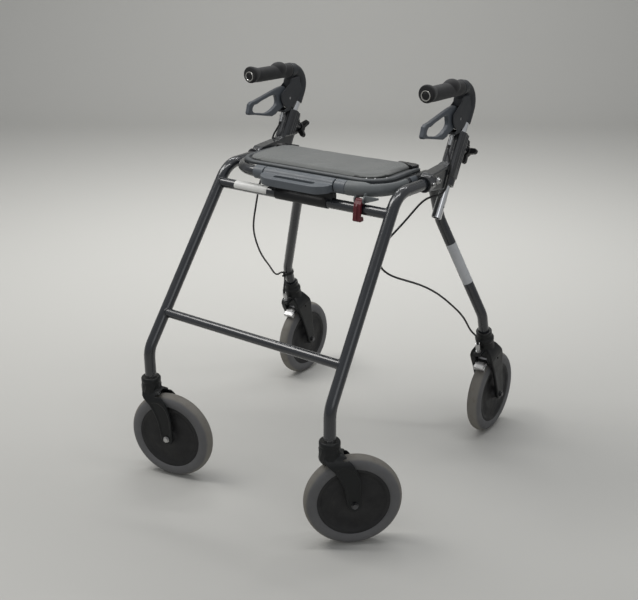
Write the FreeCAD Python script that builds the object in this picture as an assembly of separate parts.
import FreeCAD, Part
import math
import os
from FreeCAD import Vector

# Rollator walker: rigid front frame with two swivel casters, a hinged rear
# frame that carries the seat and the two braked rear wheels, and two height
# adjustable push handles with brake levers.
#
# Millimetres. +Z is up, +X is the walking user's left, -Y is the direction of
# travel. Everything is laid out with Y = 0 on the rear axle, and ORIGIN moves
# it on export so that the origin is on the floor under the overall centre.
# Paired pieces are built on the user's left and mirrored in X = 0.
ORIGIN = Vector(-17.447, 283.95, 0.0)

# wheels and forks
WHEELBASE = 626.0          # rear axle to caster pivot
TYRE_R = 100.0
TYRE_HALF = 16.8           # half the tyre width
RIM_R = 74.0
FORK_GAP = 21.5            # half the space between caster fork arms
FORK_HALF = 27.0           # half the outside width of a caster fork
REAR_FORK_GAP = 22.5       # the same two sizes for a rear fork
REAR_FORK_HALF = 29.5
WHEEL_SPACE_R = 104.0      # clearance radius inside a fork
AXLE_R = 4.0
RUN = 0.05                 # running clearance, radial
FIT = 0.02                 # close-fit clearance, radial
CASTER_X = 242.6
CASTER_TRAIL = 47.1
CASTER_ANGLE = {"left": 46.9, "right": 76.7}   # trail direction, from +Y towards +X

# front frame
LEG_R = 12.5
TUBE_WALL = 1.6
UPPER_BAR_R = 11.0
LOWER_BAR_R = 10.0
UPPER_BAR_HALF = 225.0     # half the crossbar lengths
LOWER_BAR_HALF = 239.4
UPPER_BAR = (-392.9, 632.2)    # y, z of the crossbar axes
LOWER_BAR = (-574.4, 373.8)
TOP_Z = 668.5              # height of the top run
LEG_TOP = Vector(227.5, -243.0, TOP_Z)
LEG_BEND_1 = Vector(223.0, -367.4, TOP_Z)
LEG_BEND_2 = Vector(CASTER_X, -WHEELBASE, 300.0)
LEG_END = Vector(CASTER_X, -WHEELBASE, 241.0)
LEG_BEND_RADII = [62.0, 58.0]

# rear frame
REAR_X = 285.6             # rear wheel plane
REAR_TILT = math.radians(17.4)   # lean of the rear fork
REAR_TUBE_R = 12.0
LOOP_X = 196.0             # side tubes of the seat loop
LOOP_Y = -391.0            # front tube of the seat loop
LOOP_Z = 671.0
LOOP_FRONT = (LOOP_Y, LOOP_Z)
LOOP_BEND = 75.0
REAR_KNEE = Vector(196.5, -136.0, 559.0)
REAR_ANKLE = Vector(285.2, -70.4, 324.2)
PIVOT = (-230.0, 670.0)    # y, z of the fold pivot
PIVOT_R = 4.0
PIVOT_SLEEVE_R = 7.0
SEAT_Z = 683.1             # underside of the seat board
SADDLE_TOP = SEAT_Z - 0.05

# handles
HANDLE_X = LEG_TOP.x       # plane of the handle tube and the grip
HANDLE_FOOT = Vector(HANDLE_X, -161.6, 670.0)   # a point on the sloping tube axis
HANDLE_TILT = math.radians(29.3)
HANDLE_R = 11.0
HANDLE_WALL = 1.5
HANDLE_LOW = -100.0        # lower end of the tube along its slope
HANDLE_BEND = 36.0
GRIP_Z = 849.0
GRIP_FRONT = -278.5
GRIP_ROOT = -134.0
GRIP_TILT = 0.6            # degrees; the grip rises towards its front end
CLAMP_LOW, CLAMP_TOP = -26.0, 91.0     # clamp column along the slope
CLAMP_BORE_R = 13.0
KNOB_UP = 66.0             # knob axis along the slope
KNOB_IN, KNOB_OUT = 37.5, 51.0         # knob hub, behind the tube axis
BRACKET_IN, BRACKET_OUT = 213.6, 237.5   # side bracket faces
RING_R = 16.6              # bracket ring around the leg
SCREW_AXIS = (-259.5, TOP_Z)           # y, z
LEVER_PIVOT = (-141.0, 786.0)          # y, z
LEVER_HALF = 5.5
LEVER_PIN_R = 3.0


# ------------------------------- helpers -----------------------------------
def rounded_path(points, radii):
    """Polyline with circular bends at its inner corners, as a wire."""
    edges = []
    start = points[0]
    for i, radius in enumerate(radii, 1):
        corner = points[i]
        before = (points[i - 1] - corner).normalize()
        after = (points[i + 1] - corner).normalize()
        half_angle = math.acos(max(-1.0, min(1.0, before.dot(after)))) / 2.0
        setback = radius / math.tan(half_angle)
        bend_start = corner + before * setback
        bend_end = corner + after * setback
        bisector = (before + after).normalize()
        centre = corner + bisector * (radius / math.sin(half_angle))
        if (bend_start - start).Length > 1e-6:
            edges.append(Part.makeLine(start, bend_start))
        edges.append(Part.Arc(bend_start, centre - bisector * radius, bend_end).toShape())
        start = bend_end
    edges.append(Part.makeLine(start, points[-1]))
    return Part.Wire(edges)


def round_sweep(wire, start, direction, radius):
    circle = Part.Wire([Part.makeCircle(radius, start, direction)])
    return wire.makePipeShell([circle], True, False)


def sweep(points, radii, radius):
    """Round rod along a polyline with rounded corners."""
    direction = (points[1] - points[0]).normalize()
    return round_sweep(rounded_path(points, radii), points[0], direction, radius)


def spline_rod(points, radius):
    curve = Part.BSplineCurve()
    curve.interpolate(points)
    direction = curve.tangent(curve.FirstParameter)[0]
    return round_sweep(Part.Wire([curve.toShape()]), points[0], direction, radius)


def cylinder(radius, start, end):
    return Part.makeCylinder(radius, (end - start).Length, start, end - start)


def cone(radius_1, radius_2, start, end):
    return Part.makeCone(radius_1, radius_2, (end - start).Length, start, end - start)


def x_rod(radius, x0, x1, axis):
    """Cylinder along X; axis is (y, z)."""
    return cylinder(radius, Vector(x0, *axis), Vector(x1, *axis))


def y_rod(radius, y0, y1, x=0.0, z=0.0):
    return cylinder(radius, Vector(x, y0, z), Vector(x, y1, z))


def z_rod(radius, z0, z1, x=0.0, y=0.0):
    return cylinder(radius, Vector(x, y, z0), Vector(x, y, z1))


def box(x0, x1, y0, y1, z0, z1):
    return Part.makeBox(x1 - x0, y1 - y0, z1 - z0, Vector(x0, y0, z0))


def face(points):
    return Part.Face(Part.makePolygon(points + [points[0]]))


def prism(points, direction):
    return face(points).extrude(direction)


def poly_x(points, x0, x1):
    """Polygon given in (y, z), extruded from x0 to x1."""
    return prism([Vector(x0, y, z) for y, z in points], Vector(x1 - x0, 0, 0))


def smooth_x(points, x0, x1):
    """Closed smooth outline through (y, z) points, extruded from x0 to x1."""
    curve = Part.BSplineCurve()
    curve.interpolate([Vector(x0, y, z) for y, z in points], True)
    return Part.Face(Part.Wire([curve.toShape()])).extrude(Vector(x1 - x0, 0, 0))


def revolve(points, axis):
    return face(points).revolve(Vector(0, 0, 0), axis, 360)


def hexagon(radius, start, end):
    """Hexagonal prism from start to end; radius is to the corners."""
    direction = end - start
    normal = Vector(direction).normalize()
    up = Vector(0, 0, 1) if abs(normal.z) < 0.9 else Vector(0, 1, 0)
    up = (up - normal * up.dot(normal)).normalize()
    side = normal.cross(up)
    angles = [k * math.pi / 3 for k in range(6)]
    corners = [start + up * (radius * math.cos(angle)) + side * (radius * math.sin(angle))
               for angle in angles]
    return prism(corners, direction)


def x_hexagon(radius, x0, x1, axis):
    return hexagon(radius, Vector(x0, *axis), Vector(x1, *axis))


def polar(x, y, radius, degrees):
    angle = math.radians(degrees)
    return (x + radius * math.cos(angle), y + radius * math.sin(angle))


def fuse(items):
    return items[0].multiFuse(items[1:]).removeSplitter()


def cut(shape, tools):
    for tool in tools:
        shape = shape.cut(tool)
    return shape


def soften(shape, radius, pick):
    """Fillet the picked edges together."""
    edges = [edge for edge in shape.Edges if pick(edge)]
    # A fillet the kernel rejects leaves the shape sharp.
    try:
        out = shape.makeFillet(radius, edges)
        if out.isValid() and out.Volume > 0:
            return out
    except Exception:
        pass
    return shape


def level_x(edge):
    """True if both ends of the edge have the same x."""
    return abs(edge.Vertexes[0].X - edge.Vertexes[-1].X) < 1e-6


def upright(edge):
    return abs(edge.Vertexes[0].Z - edge.Vertexes[-1].Z) > 3.9


def mirror(shape):
    return shape.mirror(Vector(0, 0, 0), Vector(1, 0, 0))


def placed(shape, position, yaw=0.0):
    out = shape.copy()
    out.rotate(Vector(0, 0, 0), Vector(0, 0, 1), yaw)
    out.translate(position)
    return out


def save(name, shape):
    out = shape.copy()
    out.translate(ORIGIN)
    out.exportStep("parts/" + name + ".step")


def save_sides(name, shape):
    """Left and right piece in separate files."""
    save(name + "_left", shape)
    save(name + "_right", mirror(shape))


def save_pair(name, shape):
    """Left and right piece in one file."""
    save(name, Part.makeCompound([shape, mirror(shape)]))


# --------------------------- front frame -----------------------------------
def leg_solid():
    return sweep([LEG_TOP, LEG_BEND_1, LEG_BEND_2, LEG_END], LEG_BEND_RADII, LEG_R)


def crossbars(wall):
    return [x_rod(UPPER_BAR_R - wall, -UPPER_BAR_HALF, UPPER_BAR_HALF, UPPER_BAR),
            x_rod(LOWER_BAR_R - wall, -LOWER_BAR_HALF, LOWER_BAR_HALF, LOWER_BAR)]


def front_frame():
    leg = leg_solid()
    # the bore runs 1 mm past both ends of the leg
    bore_path = [LEG_TOP + Vector(0, 1, 0), LEG_BEND_1, LEG_BEND_2, LEG_END - Vector(0, 0, 1)]
    leg_bore = sweep(bore_path, LEG_BEND_RADII, LEG_R - TUBE_WALL)
    frame = fuse([leg, mirror(leg)] + crossbars(0))
    return cut(frame, [leg_bore, mirror(leg_bore)] + crossbars(TUBE_WALL))


def leg_bush():
    """Bush in the leg end that carries the caster stem."""
    body = z_rod(LEG_R - TUBE_WALL, 241.2, 266, CASTER_X, -WHEELBASE)
    return body.cut(z_rod(6.0 + RUN, 230, 270, CASTER_X, -WHEELBASE))


# ------------------- handle slope: local axes and shapes -------------------
SLOPE = Vector(0, math.sin(HANDLE_TILT), math.cos(HANDLE_TILT))    # up the handle tube
BACK = Vector(0, math.cos(HANDLE_TILT), -math.sin(HANDLE_TILT))    # square to it, rearwards


def on_slope(up, back=0.0, x=0.0):
    return HANDLE_FOOT + SLOPE * up + BACK * back + Vector(x, 0, 0)


def slope_rod(radius, up0, up1, back=0.0, x=0.0):
    return cylinder(radius, on_slope(up0, back, x), on_slope(up1, back, x))


def knob_rod(radius, back0, back1):
    """Cylinder on the knob axis."""
    return cylinder(radius, on_slope(KNOB_UP, back0), on_slope(KNOB_UP, back1))


def slope_prism(points, half):
    """Polygon given in (up, back), extruded by half to each side of the handle."""
    return prism([on_slope(up, back, -half) for up, back in points], Vector(2 * half, 0, 0))


# --------------------------- side bracket ----------------------------------
# y, z
ARM_SIDE = [(-262, 652), (-262, 683), (-254, 687), (-196, 691.5), (-176, 697), (-140, 690),
            (-146, 668), (-158, 650), (-176, 642), (-206, 646), (-240, 650)]
FLANGE_SIDE = [(-258, 684), (-252, 688.5), (-192, 694), (-186, 691), (-192, 687.5), (-250, 683)]
# x, back
COLUMN_SECTION = [(-10, -24), (10, -24), (15.5, -19), (17.4, -9), (17.4, 8), (13, 14.5),
                  (8, 16.5), (8, 23), (6, 25), (-6, 25), (-8, 23), (-8, 16.5),
                  (-13, 14.5), (-17.4, 8), (-17.4, -9), (-15.5, -19)]
# x, back, radius of the grooves down the column
FLUTES = [(17.9, -3.5, 1.6), (17.9, 3.0, 1.6), (-17.9, -3.5, 1.6), (-17.9, 3.0, 1.6),
          (4.5, -24.6, 1.5), (-4.5, -24.6, 1.5), (16.8, -14.2, 1.4), (-16.8, -14.2, 1.4)]
# up, back of the fin behind the column
FIN_SIDE = [(CLAMP_TOP - 3, 15), (CLAMP_TOP - 3, 24), (KNOB_UP + 12, 31.5), (KNOB_UP + 7, 35.5),
            (KNOB_UP - 7, 35.5), (KNOB_UP - 14, 30), (20, 24), (20, 15)]


def leg_top_rod(radius, y0, y1):
    return y_rod(radius, y0, y1, LEG_TOP.x, TOP_Z)


def side_bracket():
    arm = poly_x(ARM_SIDE, BRACKET_IN, BRACKET_OUT)
    arm = soften(arm, 4.0, lambda edge: edge.BoundBox.XMin > BRACKET_OUT - 0.1
                 and edge.BoundBox.ZMax < 684)
    flange = poly_x(FLANGE_SIDE, BRACKET_IN, BRACKET_OUT + 2.0)
    ring = leg_top_rod(RING_R, -272, -250)
    ring_lip = leg_top_rod(RING_R + 1.0, -272, -267)
    column = prism([on_slope(-8, back, x) for x, back in COLUMN_SECTION],
                   SLOPE * (CLAMP_TOP + 8))
    column = fuse([column, slope_rod(17.0, CLAMP_LOW, 0)])
    column = cut(column, [slope_rod(radius, 12, CLAMP_TOP + 4, back, x)
                          for x, back, radius in FLUTES])
    boss = knob_rod(9.5, 12, 36)
    fin = slope_prism(FIN_SIDE, 5.5)
    bracket = fuse([arm, flange, ring, ring_lip, column, boss, fin])
    return cut(bracket, [
        box(150, BRACKET_IN, -320, -60, 560, 700),     # flat inner face
        leg_solid(),
        leg_top_rod(LEG_R, -250, -240),
        slope_rod(CLAMP_BORE_R, CLAMP_LOW - 20, CLAMP_TOP + 10),
        x_rod(PIVOT_R, 190, 260, PIVOT),
        knob_rod(3.0 + RUN, 0, 60),
        x_rod(2.5, 226, 260, SCREW_AXIS),
    ])


def bracket_screw():
    """Socket screw in the outer side of the bracket ring."""
    seat_x = LEG_TOP.x + RING_R
    screw = fuse([x_rod(2.48, seat_x - 3.6, seat_x + 1, SCREW_AXIS),
                  x_rod(4.6, seat_x + 0.1, seat_x + 3.6, SCREW_AXIS)])
    return screw.cut(x_hexagon(2.4, seat_x + 1.8, seat_x + 6, SCREW_AXIS))


def fold_pivot_bolt():
    """Bolt with washer and domed socket head outside, hexagonal nut inside."""
    washer_x = BRACKET_OUT + 1.4
    bolt = fuse([x_rod(PIVOT_R, 174.8, BRACKET_OUT + 4, PIVOT),
                 x_rod(8.0, BRACKET_OUT, washer_x, PIVOT),
                 cone(7.2, 5.2, Vector(washer_x, *PIVOT), Vector(washer_x + 4.8, *PIVOT)),
                 x_hexagon(7.6, 176.6, 182.9, PIVOT)])
    return bolt.cut(x_hexagon(2.9, BRACKET_OUT + 3.2, BRACKET_OUT + 8, PIVOT))


def clamp_bush():
    """Bush between clamp column and handle tube, with a collar on top."""
    bush = slope_rod(CLAMP_BORE_R, CLAMP_LOW + 2, CLAMP_TOP)
    bush = fuse([bush, slope_rod(15.2, CLAMP_TOP, CLAMP_TOP + 2.2)])
    return cut(bush, [slope_rod(HANDLE_R + RUN, CLAMP_LOW - 5, CLAMP_TOP + 10),
                      knob_rod(3.6, 0, 30)])


def star_knob(turn):
    """Four-lobed knob, turned by the given degrees, with its threaded shank."""
    hub = fuse([knob_rod(12.5, KNOB_IN, KNOB_OUT), knob_rod(3.0, HANDLE_R + 0.6, KNOB_IN + 4)])
    thickness = BACK * 10.0
    root = on_slope(KNOB_UP, KNOB_IN + 1.5)
    lobes = []
    for k in range(4):
        angle = math.radians(90 * k + turn)
        outward = Vector(1, 0, 0) * math.cos(angle) + SLOPE * math.sin(angle)
        tip = root + outward * 22.0
        side = BACK.cross(outward).normalize()
        lobes.append(prism([root + side * 8.0, tip + side * 5.6, tip - side * 5.6,
                            root - side * 8.0], thickness))
        lobes.append(cylinder(5.8, tip, tip + thickness))
    base = on_slope(KNOB_UP, KNOB_IN)

    def on_back_face(edge):
        ends = (edge.Vertexes[0], edge.Vertexes[-1])
        return edge.Length > 4 and all(BACK.dot(end.Point - base) > 11 for end in ends)

    return soften(fuse([hub] + lobes), 1.6, on_back_face)


# --------------------------- handles ---------------------------------------
HANDLE_CORNER = on_slope((GRIP_Z - HANDLE_FOOT.z) / math.cos(HANDLE_TILT))
FLARE_Y = GRIP_FRONT + 1.0       # front end of the grip
# y, radius
GRIP_PROFILE = [(FLARE_Y, 0), (FLARE_Y, 14.5), (GRIP_FRONT + 30, 16.0),
                (GRIP_FRONT + 80, 16.0), (GRIP_ROOT - 28, 16.0), (GRIP_ROOT - 14, 16.4),
                (GRIP_ROOT - 4, 16.4), (GRIP_ROOT, 15.4), (GRIP_ROOT, 0)]
# y behind GRIP_FRONT, radius
FLARE_PROFILE = [(1.0, 0), (1.0, 16.4), (2.2, 17.8), (4.5, 18.6), (8.0, 18.5),
                 (13.0, 17.4), (20.0, 15.6), (30.0, 13.0), (30.0, 0)]


def tilt(shape):
    """Lean a shape built level about the handle corner, as the grip leans."""
    out = shape.copy()
    out.rotate(HANDLE_CORNER, Vector(1, 0, 0), -GRIP_TILT)
    return out


def grip_point(y):
    """Point on the tilted grip axis that was at y before tilting."""
    reach = y - HANDLE_CORNER.y
    angle = math.radians(GRIP_TILT)
    return Vector(HANDLE_X, HANDLE_CORNER.y + reach * math.cos(angle),
                  GRIP_Z - reach * math.sin(angle))


def handle_rod(low, front_y, radius):
    """Bent rod along the handle axis, from low on the slope to front_y on the grip."""
    return sweep([on_slope(low), HANDLE_CORNER, grip_point(front_y)], [HANDLE_BEND], radius)


def grip_rod(radius, y0, y1):
    return y_rod(radius, y0, y1, HANDLE_X, GRIP_Z)


def handle_tube():
    hole_up = HANDLE_LOW + 26
    return cut(handle_rod(HANDLE_LOW, GRIP_FRONT, HANDLE_R),
               [handle_rod(HANDLE_LOW - 2, GRIP_FRONT - 2, HANDLE_R - HANDLE_WALL),
                cylinder(2.0, on_slope(hole_up), on_slope(hole_up, 0, 20))])


def grip():
    """Grip built on the Y axis, with a flared front end and a palm swelling."""
    y_axis = Vector(0, 1, 0)
    body = revolve([Vector(0, y, radius) for y, radius in GRIP_PROFILE], y_axis)
    flare = revolve([Vector(0, GRIP_FRONT + y, radius) for y, radius in FLARE_PROFILE], y_axis)
    flare.translate(Vector(0, 0, 3.0))
    stretch = FreeCAD.Matrix()
    stretch.scale(17.4, 27.0, 18.2)
    palm = Part.makeSphere(1.0).transformGeometry(stretch)
    palm.translate(Vector(0, -172.0, 4.2))
    body = fuse([body, flare, palm])
    body = body.cut(y_rod(HANDLE_R + FIT, GRIP_FRONT - 5, GRIP_ROOT + 5))
    body.translate(Vector(HANDLE_X, 0, GRIP_Z))
    return tilt(body)


def grip_plug():
    rim_y = GRIP_FRONT + 0.8
    return tilt(fuse([grip_rod(HANDLE_R - HANDLE_WALL - FIT, rim_y, GRIP_FRONT + 18),
                      cone(5.0, 8.4, Vector(HANDLE_X, GRIP_FRONT - 0.6, GRIP_Z),
                           Vector(HANDLE_X, rim_y, GRIP_Z))]))


# --------------------------- brake levers ----------------------------------
NOSE_HALF = 11.6           # half width of the housing nose
SLOT_HALF = 9.2            # half width of its lever slot
CAM_HALF = 8.9
# y, z
NOSE_SIDE = [(-138, 832), (-104, 833), (-94, 800), (-104, 784), (-117, 771), (-126, 764.5),
             (-136, 760.5), (-151, 761.5), (-164, 768), (-173, 777), (-177, 788),
             (-176.5, 799), (-158, 811.5), (-141, 822)]
NOSE_FLOOR = [(-165, 755.2), (-165, 760), (-149, 760.5), (-136, 763.5), (-128, 766),
              (-118, 772), (-113, 772), (-122, 764), (-136, 757.5)]
NOSE_CHEEK = [(-165, 755.2), (-165, 760), (-150, 768), (-137, 768), (-137, 757.5)]
LEVER_OUTSIDE = [(-150, 810), (-160, 816), (-178, 814), (-200, 809.5), (-236, 801.5),
                 (-264, 795.5), (-277, 794), (-284, 790), (-287, 780), (-290.5, 771),
                 (-288, 766), (-279, 765.0), (-268, 763.6), (-235, 757), (-204, 751),
                 (-190, 754), (-178, 762), (-163, 767), (-150, 771)]
LEVER_WINDOW = [(-264, 786.5), (-273, 781), (-274.5, 774.5), (-268, 769), (-248, 765),
                (-228, 761.8), (-206, 766), (-194, 771.5), (-186, 778), (-185.5, 788),
                (-190, 797), (-200, 799.5), (-224, 795.5), (-246, 790.7)]


def handle_slab(points, half):
    """(y, z) polygon, extruded by half to each side of the handle plane."""
    return poly_x(points, HANDLE_X - half, HANDLE_X + half)


def lever_disc(radius, half):
    return x_rod(radius, HANDLE_X - half, HANDLE_X + half, LEVER_PIVOT)


def brake_housing():
    """Shell around the bend of the handle tube with a slotted nose for the lever."""
    shell = handle_rod(117, GRIP_ROOT + 0.3, HANDLE_R + 2.8)
    nose = soften(handle_slab(NOSE_SIDE, NOSE_HALF), 4.0,
                  lambda edge: level_x(edge) and edge.Length > 3)
    crest = grip_rod(16.6, GRIP_ROOT + 0.3, GRIP_ROOT + 8)
    crest = tilt(fuse([crest, cone(16.6, 13.9, Vector(HANDLE_X, GRIP_ROOT + 8, GRIP_Z),
                                   Vector(HANDLE_X, GRIP_ROOT + 24, GRIP_Z))]))
    house = fuse([shell, nose, crest])
    slot = (HANDLE_X - SLOT_HALF, HANDLE_X + SLOT_HALF)
    house = cut(house, [box(*slot, -200, -119, 750, 811), box(*slot, -200, -139, 805, 828)])
    cheeks = [poly_x(NOSE_CHEEK, HANDLE_X + x, HANDLE_X + x + 2.3) for x in (-11.5, 9.2)]
    house = fuse([house, handle_slab(NOSE_FLOOR, 9.3)] + cheeks)
    column_top = CLAMP_TOP + 3.0
    return cut(house, [
        handle_rod(60, GRIP_FRONT, HANDLE_R + FIT),
        tilt(grip_rod(22.0, -190, GRIP_ROOT + 0.15)),
        slope_prism([(60, -26), (60, 30), (column_top, 30), (column_top, -26)], 20),
        x_rod(LEVER_PIN_R, 200, 260, LEVER_PIVOT),
    ])


def brake_lever():
    """Closed lever loop in front of a round root on the pivot."""
    y, z = LEVER_PIVOT
    root = [(y + 4, 774.5), (y + 11, 782), (y + 11.5, 790), (y + 5, 798)]
    lever = handle_slab(LEVER_OUTSIDE + root, LEVER_HALF)
    lever = lever.cut(smooth_x(LEVER_WINDOW, HANDLE_X - 20, HANDLE_X + 20))
    lever = fuse([lever.common(box(0, 400, -400, y + 1, 700, 900)),
                  lever_disc(12.0, LEVER_HALF)])
    lever = soften(lever, 2.2, lambda edge: level_x(edge) and edge.BoundBox.YMax < -166)
    return lever.cut(x_rod(LEVER_PIN_R + RUN, 200, 260, LEVER_PIVOT))


def parking_cam():
    """Forked carrier around the lever root."""
    y, z = LEVER_PIVOT
    gap = LEVER_HALF + 0.3
    bridge = [(y + 6, z - 6), (y + 17.5, z - 5), (y + 17.5, z + 5), (y + 6, z + 6)]
    cam = fuse([x_rod(11.0, HANDLE_X - CAM_HALF, HANDLE_X - gap, LEVER_PIVOT),
                x_rod(11.0, HANDLE_X + gap, HANDLE_X + CAM_HALF, LEVER_PIVOT),
                handle_slab(bridge, CAM_HALF)])
    return cut(cam, [lever_disc(13.0, gap), x_rod(LEVER_PIN_R + RUN, 200, 260, LEVER_PIVOT)])


# cable barrel under the housing
BARREL_DIR = Vector(0, -0.40, -0.9165)
BARREL_TOP = Vector(HANDLE_X, -157.0, 757.0) + BARREL_DIR * 3.0


def barrel_rod(radius, start, end):
    return cylinder(radius, BARREL_TOP + BARREL_DIR * start, BARREL_TOP + BARREL_DIR * end)


def cable_barrel(house):
    barrel = fuse([barrel_rod(3.4, 0, 8), barrel_rod(5.0, 7, 12), barrel_rod(4.1, 12, 23)])
    barrel = fuse([barrel, barrel_rod(7.0, -0.5, 1.6)])
    return cut(barrel, [barrel_rod(3.1, 14, 30), house])


# ------------------- rear fork: local axes and shapes ----------------------
FORK_UP = Vector(0, -math.sin(REAR_TILT), math.cos(REAR_TILT))     # up the rear fork
FORK_REAR = Vector(0, math.cos(REAR_TILT), math.sin(REAR_TILT))    # square to it, rearwards
REAR_AXLE = Vector(REAR_X, 0, TYRE_R)


def in_fork(up, rear=0.0, x=0.0):
    """Point from the rear axle centre, in the fork's own axes."""
    return REAR_AXLE + FORK_UP * up + FORK_REAR * rear + Vector(x, 0, 0)


def fork_rod(radius, up, rear, half):
    """Cylinder along X, reaching half to each side of the wheel plane."""
    return cylinder(radius, in_fork(up, rear, -half), in_fork(up, rear, half))


def fork_post(radius, up0, up1, rear=0.0):
    return cylinder(radius, in_fork(up0, rear), in_fork(up1, rear))


def fork_slab(points, half):
    """Polygon given in (rear, up), extruded by half to each side of the wheel plane."""
    return prism([in_fork(up, rear, -half) for rear, up in points], Vector(2 * half, 0, 0))


def fork_box(half, rear0, rear1, up0, up1):
    return fork_slab([(rear0, up0), (rear1, up0), (rear1, up1), (rear0, up1)], half)


# --------------------------- rear frame ------------------------------------
def loop_rod(end_up, radius):
    """Rod from one rear fork up around the seat and down to the other fork."""
    half = [in_fork(end_up), REAR_ANKLE, REAR_KNEE, Vector(LOOP_X, -186.0, LOOP_Z),
            Vector(LOOP_X, LOOP_Y, LOOP_Z)]
    bends = [50.0, 60.0, 38.0, LOOP_BEND]
    other_half = [Vector(-point.x, point.y, point.z) for point in reversed(half)]
    return sweep(half + other_half, bends + bends[::-1], radius)


def rear_frame_tube():
    tube = loop_rod(150, REAR_TUBE_R).cut(loop_rod(149, REAR_TUBE_R - TUBE_WALL))
    return cut(tube, [x_rod(PIVOT_SLEEVE_R, side * (LOOP_X - 20), side * (LOOP_X + 20), PIVOT)
                      for side in (1, -1)])


def pivot_sleeve():
    sleeve = x_rod(PIVOT_SLEEVE_R, LOOP_X - 12.6, 213.0, PIVOT)
    return sleeve.cut(x_rod(PIVOT_R + RUN, 100, 300, PIVOT))


# --------------------------- seat ------------------------------------------
# x, y
RIVETS = [(126, -374.5), (146, -371), (186, -262), (-126, -374.5), (-146, -371), (-186, -262)]


def round_corners(plate, front_r, rear_r):
    plate = soften(plate, front_r, lambda edge: upright(edge) and edge.Vertexes[0].Y < -300)
    return soften(plate, rear_r, lambda edge: upright(edge) and edge.Vertexes[0].Y > -220)


def seat_board():
    board = round_corners(box(-194.0, 194.0, -382.0, -216.0, SEAT_Z, SEAT_Z + 4.0), 62.0, 16.0)
    return cut(board, [z_rod(2.0, SEAT_Z - 1, SEAT_Z + 6, x, y) for x, y in RIVETS])


def seat_pad():
    pad = round_corners(box(-174, 174, -367, -210, SEAT_Z + 4.1, SEAT_Z + 10.1), 46.0, 12.0)
    return soften(pad, 2.5, lambda edge: edge.BoundBox.ZMin > SEAT_Z + 10)


def seat_rivets():
    return Part.makeCompound([
        fuse([z_rod(1.98, SEAT_Z + 0.2, SEAT_Z + 4.5, x, y),
              cone(4.0, 2.4, Vector(x, y, SEAT_Z + 4.0), Vector(x, y, SEAT_Z + 5.4))])
        for x, y in RIVETS])


def seat_saddle():
    """Moulded hook that holds the front edge of the board on the loop."""
    x0, x1 = 93.0, 119.0
    saddle = fuse([x_rod(14.8, x0, x1, LOOP_FRONT),
                   box(x0, x1, LOOP_Y + 2, LOOP_Y + 24, LOOP_Z + 6, SADDLE_TOP)])
    return cut(saddle, [x_rod(REAR_TUBE_R + FIT, 80, 140, LOOP_FRONT),
                        box(80, 140, LOOP_Y + 8.9, LOOP_Y + 60, SADDLE_TOP, 720)])


def seat_clip():
    """Clip between the side edge of the board and the side tube."""
    y0, y1 = -286, -262
    clip = fuse([y_rod(14.0, y0, y1, LOOP_X, LOOP_Z),
                 box(LOOP_X - 22, LOOP_X - 2, y0, y1, LOOP_Z + 6, SADDLE_TOP)])
    return cut(clip, [y_rod(REAR_TUBE_R + FIT, -300, -240, LOOP_X, LOOP_Z),
                      box(100, LOOP_X - 4.0, -300, -240, SADDLE_TOP, 720),
                      box(LOOP_X - 4.1, 300, -300, -240, SADDLE_TOP, 720)])


# --------------------------- latch -----------------------------------------
HOOK_X0, HOOK_X1 = 146.0, 163.0
HOOK_SIDE_GAP = 0.4
HOOK_LUG = 3.6             # thickness of the lug on each side of the hook
HOOK_PIN = (-399.0, 651.0)     # y, z
HOOK_PIN_R = 2.2
# y, z
LUG_SIDE = [(-399, 662), (-405.5, 656), (-404.5, 648), (-399, 645.4), (-392, 648),
            (-380, 659), (-380, 666), (-399, 666)]
HOOK_RIB_SIDE = [(-409.5, 647), (-411, 634), (-411.8, 614), (-414.6, 612), (-415.2, 622),
                 (-413.6, 642)]
# x beyond the hook, z
GUSSET_FACE = [(3.0, 662), (3.0, 647.5), (8.0, 648.5), (34.0, 658.0), (34.0, 662)]


def latch_sleeve():
    """Sleeve on the loop's front corner, user's left, with a lug for the hook pin."""
    path = [Vector(120.0, LOOP_Y, LOOP_Z), Vector(LOOP_X, LOOP_Y, LOOP_Z),
            Vector(LOOP_X, -300.0, LOOP_Z)]
    bore_path = [path[0] - Vector(10, 0, 0), path[1], path[2] + Vector(0, 10, 0)]
    gap = (HOOK_X0 - HOOK_SIDE_GAP, HOOK_X1 + HOOK_SIDE_GAP)
    sleeve = sweep(path, [LOOP_BEND], 15.2)
    lug = poly_x(LUG_SIDE, HOOK_X0 - HOOK_LUG, HOOK_X1 + HOOK_LUG)
    lug = lug.cut(box(*gap, -440, -386, 630, 668))
    gusset = prism([Vector(HOOK_X1 + x, -399, z) for x, z in GUSSET_FACE], Vector(0, 4.0, 0))
    sleeve = fuse([sleeve, lug, gusset])
    return cut(sleeve, [sweep(bore_path, [LOOP_BEND], REAR_TUBE_R + FIT),
                        box(*gap, -440, -386, 630, 657.2),
                        x_rod(HOOK_PIN_R, HOOK_X0 - 4, HOOK_X1 + 4, HOOK_PIN),
                        box(100, 300, -383, -200, SADDLE_TOP, 720)])


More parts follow.
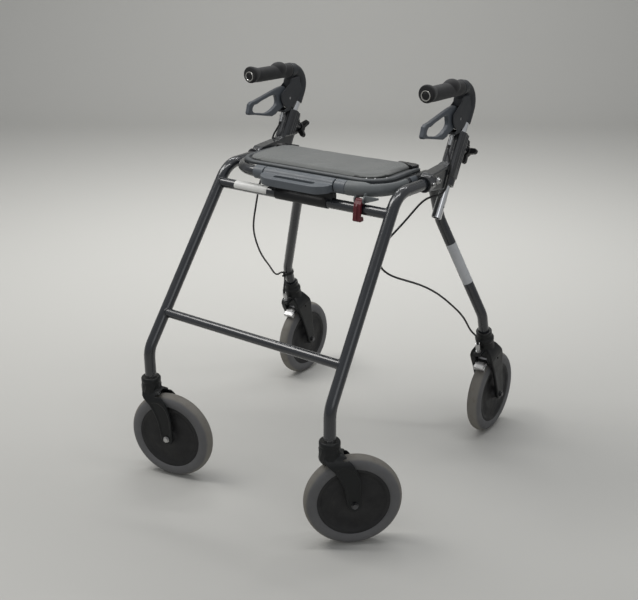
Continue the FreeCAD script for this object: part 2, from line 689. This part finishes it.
def latch_hook():
    """Hook that hangs from its pin and passes under the upper crossbar."""
    y, z = HOOK_PIN
    eye_r, inner_r, outer_r = 5.4, 33.0, 42.0
    rear_side = [(y - eye_r, z + 1), polar(y, z, eye_r, 60), (y + 2.0, z - 4.6),
                 (-404.6, 641.5), (-404.9, 630.5), (-405.4, 621.5)]
    # radius, degrees about the pin
    foot = [(inner_r, -100), (inner_r, -96), (inner_r, -92), (inner_r, -88.5),
            (outer_r - 3.0, -86.5), (outer_r, -88), (outer_r, -94),
            (outer_r + 0.6, -100), (outer_r + 1.0, -105)]
    front_side = [(-413.0, 611.5), (-412.0, 622), (-411.2, 636), (-409.0, 646)]
    outline = rear_side + [polar(y, z, *point) for point in foot] + front_side
    hook = poly_x(outline, HOOK_X0, HOOK_X1)
    hook = fuse([hook, x_rod(eye_r, HOOK_X0, HOOK_X1, HOOK_PIN),
                 poly_x(HOOK_RIB_SIDE, 152.5, 156.5)])
    return cut(hook, [x_rod(UPPER_BAR_R + 0.2, 100, 200, UPPER_BAR),
                      x_rod(HOOK_PIN_R + RUN, 100, 200, HOOK_PIN)])


def crossbar_rest():
    """Rest block on the upper crossbar."""
    block = poly_x([(-399.5, 636), (-398.5, 655.4), (-383, 655.4), (-382, 636)], -70, 86)
    rest = fuse([x_rod(12.8, -62, 74, UPPER_BAR), block])
    return rest.cut(x_rod(UPPER_BAR_R + FIT, -100, 100, UPPER_BAR))


# --------------------------- lift handle -----------------------------------
LIFT_HALF = 90.6           # half the width
LIFT_CORNER = 34           # corner radius
LIFT_DOWN = math.radians(3.5)    # droop of the front edge
LIFT_FORWARD = Vector(0, -math.cos(LIFT_DOWN), -math.sin(LIFT_DOWN))
LIFT_NORMAL = Vector(0, -math.sin(LIFT_DOWN), math.cos(LIFT_DOWN))


def lift_plate(points, bottom, top):
    """Plate on the handle's plane; points are x and distance ahead of the loop tube."""
    base = Vector(0, LOOP_Y, LOOP_Z)
    corners = [base + Vector(x, 0, 0) + LIFT_FORWARD * ahead + LIFT_NORMAL * bottom
               for x, ahead in points]
    return prism(corners, LIFT_NORMAL * (top - bottom))


def arc_points(x, y, radius, start, end):
    return [polar(x, y, radius, start + (end - start) * k / 8) for k in range(9)]


def lift_handle():
    """D-shaped handle that turns on the front tube of the loop."""
    centre_x = LIFT_HALF - LIFT_CORNER
    outline = [(LIFT_HALF, 4.0)] + arc_points(centre_x, 11.0, LIFT_CORNER, 0, 90)[1:]
    outline += arc_points(-centre_x, 11.0, LIFT_CORNER, 90, 180) + [(-LIFT_HALF, 4.0)]
    slot = arc_points(46, 24, 6.5, -90, 90) + arc_points(-46, 24, 6.5, 90, 270)
    body = fuse([lift_plate(outline, -11.0, 6.0),
                 x_rod(14.8, -LIFT_HALF, LIFT_HALF, LOOP_FRONT)])
    body = soften(body, 3.0,
                  lambda edge: edge.BoundBox.YMax < LOOP_Y - 16 and edge.Length > 5)
    return cut(body, [lift_plate(slot, -20, 20),
                      x_rod(REAR_TUBE_R + RUN, -120, 120, LOOP_FRONT),
                      box(-120, 120, LOOP_Y + 3, LOOP_Y + 40, SEAT_Z - 0.8, 720)])


# --------------------------- rear forks ------------------------------------
BRAKE_PIN = (113.5, 2.0)   # up, rear
BRAKE_PIN_R = 2.48
ADJUSTER_REAR = -35.0      # brake adjuster axis, ahead of the fork axis
SHOE_GAP_R = TYRE_R + 3.6  # inner radius of the brake shoe
# rear, up: front edge, foot around the axle, rear edge
FORK_SIDE = [(-17, 150), (-24, 140), (-27, 126), (-25, 110), (-21, 92), (-17, 60), (-13.5, 20)]
FORK_SIDE += [polar(0, 0, 13.5, degrees) for degrees in range(180, 361, 15)]
FORK_SIDE += [(15.5, 20), (21, 56), (27, 92), (31, 108), (29, 122), (21, 138), (17, 150)]


def fork_arch():
    """Front-view outline of the rear fork, extruded through it: domed top, wide sides."""
    half = REAR_FORK_HALF
    side = [(half + 2, 112.0)]
    for degrees in range(10, 90, 10):
        angle = math.radians(degrees)
        side.append((half * math.cos(angle) ** 0.7, 112 + 40 * math.sin(angle) ** 0.85))
    outline = [(-half - 2, -30), (half + 2, -30)] + side + [(0, 152)]
    outline += [(-x, up) for x, up in reversed(side)]
    return prism([in_fork(up, -60, x) for x, up in outline], FORK_REAR * 120)


def rear_fork():
    body = fork_slab(FORK_SIDE, REAR_FORK_HALF)
    body = soften(body, 3.0, lambda edge: level_x(edge) and edge.Length > 2)
    body = soften(body, 4.5, lambda edge: abs(abs(edge.CenterOfMass.x - REAR_X)
                                              - REAR_FORK_HALF) < 1e-3)
    body = body.common(fork_arch())
    # socket for the frame tube, and the lug of the brake adjuster
    body = fuse([body, cone(23.0, 20.5, in_fork(136), in_fork(164)),
                 fork_post(22.0, 163.9, 172), cone(20.0, 17.6, in_fork(172), in_fork(181)),
                 fork_post(18.4, 181, 190), fork_box(9, -43, -10, 143, 151)])
    return cut(body, [fork_rod(WHEEL_SPACE_R, 0, 0, REAR_FORK_GAP),
                      loop_rod(150, REAR_TUBE_R),
                      fork_post(REAR_TUBE_R - 2.0, 148, 152),
                      # space for the brake shoe, open to the front
                      fork_box(15.5, -60, 9.5, 95, 121.5),
                      fork_box(15.5, -60, -19, 95, 142.9),
                      fork_rod(AXLE_R, 0, 0, 40),
                      fork_rod(2.5, *BRAKE_PIN, 30),
                      fork_post(3.4, 140, 156, ADJUSTER_REAR)])


def wheel_axle(centre, half, nut):
    """Axle with a washer and a hexagonal nut outside each fork arm."""
    axis = (centre.y, centre.z)
    x = centre.x
    washer = half + 1.2
    end = washer + nut
    return fuse([x_rod(AXLE_R, x - half - 1, x + half + 1, axis),
                 x_rod(7.0, x + half, x + washer, axis),
                 x_rod(7.0, x - washer, x - half, axis),
                 x_hexagon(6.0, x + washer, x + end, axis),
                 x_hexagon(6.0, x - end, x - washer, axis)])


def brake_adjuster():
    rear = ADJUSTER_REAR
    adjuster = fuse([fork_post(3.38, 141, 168, rear),
                     hexagon(6.4, in_fork(151.02, rear), in_fork(155, rear)),
                     fork_post(5.2, 160, 176, rear)])
    return adjuster.cut(fork_post(3.2, 162, 200, rear))


def tyre_arc(radius, angles):
    """(rear, up) points around the axle; angles in degrees forward of the fork axis."""
    return [(-radius * math.sin(math.radians(angle)), radius * math.cos(math.radians(angle)))
            for angle in angles]


def brake_shoe():
    """Bent sheet channel that swings on its pin onto the tyre."""
    gap_r = SHOE_GAP_R
    outside = [(6.5, 109.5)] + tyre_arc(gap_r, (-3, 2, 7, 12, 17, 22.5))
    outside += tyre_arc(gap_r + 7.5, (22.5,)) + tyre_arc(gap_r + 10.5, (21.5, 17, 12, 8))
    outside += [(-9.5, 119.0), (-1, 119.6), (6.5, 117)]
    inside = tyre_arc(gap_r + 2.4, (2.5, 7, 12, 17, 20.6))
    inside += tyre_arc(gap_r + 8.2, (20.6, 17, 12, 7.4)) + [(-3.2, 125), (-3.2, 112)]
    shoe = fork_slab(outside, 14.0).cut(fork_slab(inside, 11.8))
    shoe = fuse([shoe, fork_rod(4.8, *BRAKE_PIN, 14.0)])
    # keep everything clear of the tyre
    shoe = shoe.common(fork_rod(150, 0, 0, 15).cut(fork_rod(gap_r - 0.01, 0, 0, 16)))
    return shoe.cut(fork_rod(BRAKE_PIN_R + RUN, *BRAKE_PIN, 40))


def cable_clip():
    """Clip on the rear leg on the user's right."""
    clip = fuse([fork_post(13.8, 218, 225), fork_box(4.5, -23.5, -10, 219, 224)])
    return mirror(cut(clip, [loop_rod(150, REAR_TUBE_R), fork_post(2.5, 205, 240, -19)]))


# --------------------------- wheels ----------------------------------------
# x, radius from the hub bore out to the tyre seat
RIM_PROFILE = [(20.0, AXLE_R + RUN), (20.0, 12.5), (17.5, 14.0), (11.5, 17.0), (10.5, 22.0),
               (10.5, 60.0), (11.5, 65.0), (13.6, 67.5), (14.0, RIM_R - 0.02)]
TYRE_PROFILE = [(14.2, RIM_R), (16.2, 77.5), (TYRE_HALF, 83.0), (15.9, 89.0), (13.2, 94.2),
                (9.0, 97.9), (4.4, 99.5)]


def both_flanks(half, middle=()):
    profile = half + list(middle) + [(-x, radius) for x, radius in reversed(half)]
    return [Vector(x, 0, radius) for x, radius in profile]


def wheel_rim():
    return revolve(both_flanks(RIM_PROFILE), Vector(1, 0, 0))


def wheel_tyre():
    points = both_flanks(TYRE_PROFILE, [(0, TYRE_R)])
    curve = Part.BSplineCurve()
    curve.interpolate(points)
    section = Part.Face(Part.Wire([curve.toShape(), Part.makeLine(points[-1], points[0])]))
    return section.revolve(Vector(0, 0, 0), Vector(1, 0, 0), 360)


# --------------------------- casters ---------------------------------------
# Local frame: pivot axis on Z, trail along +Y, wheel axle along X.
CASTER_AXLE = Vector(0, CASTER_TRAIL, TYRE_R)
CASTER_AXIS = (CASTER_TRAIL, TYRE_R)
# y, z
CASTER_SIDE = [(-14, 206), (-12, 197), (-4, 187), (7, 176), (17, 159), (25, 139), (29, 120),
               (CASTER_TRAIL - 15.5, 101)]
CASTER_SIDE += [polar(*CASTER_AXIS, 14.5, degrees) for degrees in range(195, 361, 15)]
CASTER_SIDE += [(60.5, 128), (60, 146), (57, 161), (51, 176), (44.5, 189), (36, 200),
                (27, 208), (16, 213), (0, 213)]
DISH = [(11, 179), (21, 162), (29, 141), (33, 121), (36, 109), (47, 104), (56, 112),
        (57, 130), (56, 146), (52.5, 160), (46, 173), (36, 182), (22, 186)]


def arch(half, spring_z, rise, y0, y1):
    """Upright plate rounded at the top, in the fork's front view."""
    outline = [(-half, 60), (half, 60)]
    for degrees in range(0, 181, 10):
        angle = math.radians(degrees)
        outline.append((half * math.cos(angle), spring_z + rise * math.sin(angle)))
    return prism([Vector(x, y0, z) for x, z in outline], Vector(0, y1 - y0, 0))


def front_fork():
    body = poly_x(CASTER_SIDE, -FORK_HALF, FORK_HALF)
    body = soften(body, 3.0, lambda edge: level_x(edge) and edge.Length > 2.5)
    body = body.common(arch(FORK_HALF, 181.0, 32.0, -60, 120))
    body = body.cut(arch(FORK_GAP, 184.0, 23.5, 12, 120))
    # hub: tapered foot, ribbed barrel, groove, plain collar
    body = fuse([body, cone(12.0, 21.4, Vector(0, 0, 181), Vector(0, 0, 194)),
                 z_rod(21.4, 194, 224), z_rod(20.2, 224, 226.5), z_rod(21.6, 226.5, 233.5),
                 cone(21.6, 19.6, Vector(0, 0, 233.5), Vector(0, 0, 236.5))])
    rib_circle, rib_count, rib_twist = 21.3, 14, 0.34
    for k in range(rib_count):
        low = 2 * math.pi * k / rib_count + 0.13
        high = low + rib_twist
        rib = cylinder(
            1.3,
            Vector(rib_circle * math.cos(low), rib_circle * math.sin(low), 197.5),
            Vector(rib_circle * math.cos(high), rib_circle * math.sin(high), 219.5))
        body = body.fuse(rib)
    return cut(body, [x_rod(WHEEL_SPACE_R, -FORK_GAP, FORK_GAP, CASTER_AXIS),
                      z_rod(6.0, 206.0, 250),
                      x_rod(AXLE_R, -40, 40, CASTER_AXIS),
                      # dished face of each arm, inside a raised border
                      smooth_x(DISH, FORK_HALF - 1.6, FORK_HALF + 1),
                      smooth_x(DISH, -FORK_HALF - 1, -FORK_HALF + 1.6)])


def caster_stem():
    return fuse([z_rod(5.98, 206.5, 264),
                 hexagon(11.2, Vector(0, 0, 236.6), Vector(0, 0, 240.9))])


# --------------------------- brake cables ----------------------------------
CABLE_R = 2.2
# x, y, z from the barrel down; the right cable is listed as if on the left
CABLE_TOP = [(229, -174.5, 721), (236.4, -179.4, 706), (241.4, -181.9, 690),
             (241.4, -189, 668), (240.8, -197, 650), (236, -205, 637.0)]
CABLE_LEFT = [(221, -222, 631), (208, -262, 614), (205, -298, 596), (206, -352, 578),
              (206, -392, 556), (207, -402, 530), (210, -384, 506), (217, -344, 482),
              (229, -276, 450), (243, -214, 412), (256, -164, 370), (270, -126, 326),
              (280, -106, 292)]
CABLE_RIGHT = [(227, -224, 630), (221, -253, 609), (218, -270, 577), (218, -280, 543),
               (222, -283, 505), (230, -266, 461), (240, -232, 412), (252, -186, 366),
               (268, -136, 328)]


def cable(table, lower_end):
    start = BARREL_TOP + BARREL_DIR * 16.5
    points = [Vector(*point) for point in CABLE_TOP + table]
    return spline_rod([start, start + BARREL_DIR * 9] + points + lower_end, CABLE_R)


def brake_cables():
    end = in_fork(167.5, ADJUSTER_REAR)
    entry = [end + FORK_UP * 12, end]
    left = cable(CABLE_LEFT, [end + FORK_UP * 26] + entry)
    # the right cable passes through the cable clip
    right = cable(CABLE_RIGHT, [in_fork(224, -19), in_fork(214, -20)] + entry)
    return Part.makeCompound([left, mirror(right)])


# --------------------------- export ----------------------------------------
os.makedirs("parts", exist_ok=True)

save("front_frame", front_frame())
save_pair("leg_bushes", leg_bush())
save_sides("side_bracket", side_bracket())
save_pair("bracket_screws", bracket_screw())
save_pair("fold_pivot_bolts", fold_pivot_bolt())
save_pair("clamp_bushes", clamp_bush())
save("star_knob_left", star_knob(8.0))
save("star_knob_right", mirror(star_knob(46.0)))

save_sides("handle_tube", handle_tube())
save_sides("grip", grip())
save_sides("grip_plug", grip_plug())
housing = brake_housing()
save_sides("brake_housing", housing)
save_sides("lever_pin", lever_disc(LEVER_PIN_R, NOSE_HALF - 1))
save_sides("brake_lever", brake_lever())
save_sides("parking_cam", parking_cam())
save_sides("cable_barrel", cable_barrel(housing))

save("rear_frame_tube", rear_frame_tube())
save_pair("pivot_sleeves", pivot_sleeve())
save("seat_board", seat_board())
save("seat_pad", seat_pad())
save("seat_rivets", seat_rivets())
save_pair("seat_saddles", seat_saddle())
save_pair("seat_clips", seat_clip())
save("latch_sleeve", latch_sleeve())
save("hook_pin", x_rod(HOOK_PIN_R, HOOK_X0 - HOOK_LUG, HOOK_X1 + HOOK_LUG, HOOK_PIN))
save("latch_hook", latch_hook())
save("crossbar_rest", crossbar_rest())
save("lift_handle", lift_handle())

save_sides("rear_fork", rear_fork())
save_pair("rear_axles", wheel_axle(REAR_AXLE, REAR_FORK_HALF, 3.8))
save_pair("brake_pins", fork_rod(BRAKE_PIN_R, *BRAKE_PIN, 26.5))
save_pair("brake_adjusters", brake_adjuster())
save_sides("brake_shoe", brake_shoe())
save("cable_clip", cable_clip())
save("brake_cables", brake_cables())

rim = wheel_rim()
tyre = wheel_tyre()
caster = {"front_fork": front_fork(), "caster_stem": caster_stem(),
          "front_axle": wheel_axle(CASTER_AXLE, FORK_HALF, 3.4),
          "front_rim": placed(rim, CASTER_AXLE), "front_tyre": placed(tyre, CASTER_AXLE)}
for side, sign in (("left", 1), ("right", -1)):
    rear_centre = Vector(sign * REAR_X, 0, TYRE_R)
    save("rear_rim_" + side, placed(rim, rear_centre))
    save("rear_tyre_" + side, placed(tyre, rear_centre))
    caster_pivot = Vector(sign * CASTER_X, -WHEELBASE, 0)
    for name, shape in caster.items():
        save(name + "_" + side, placed(shape, caster_pivot, -CASTER_ANGLE[side]))
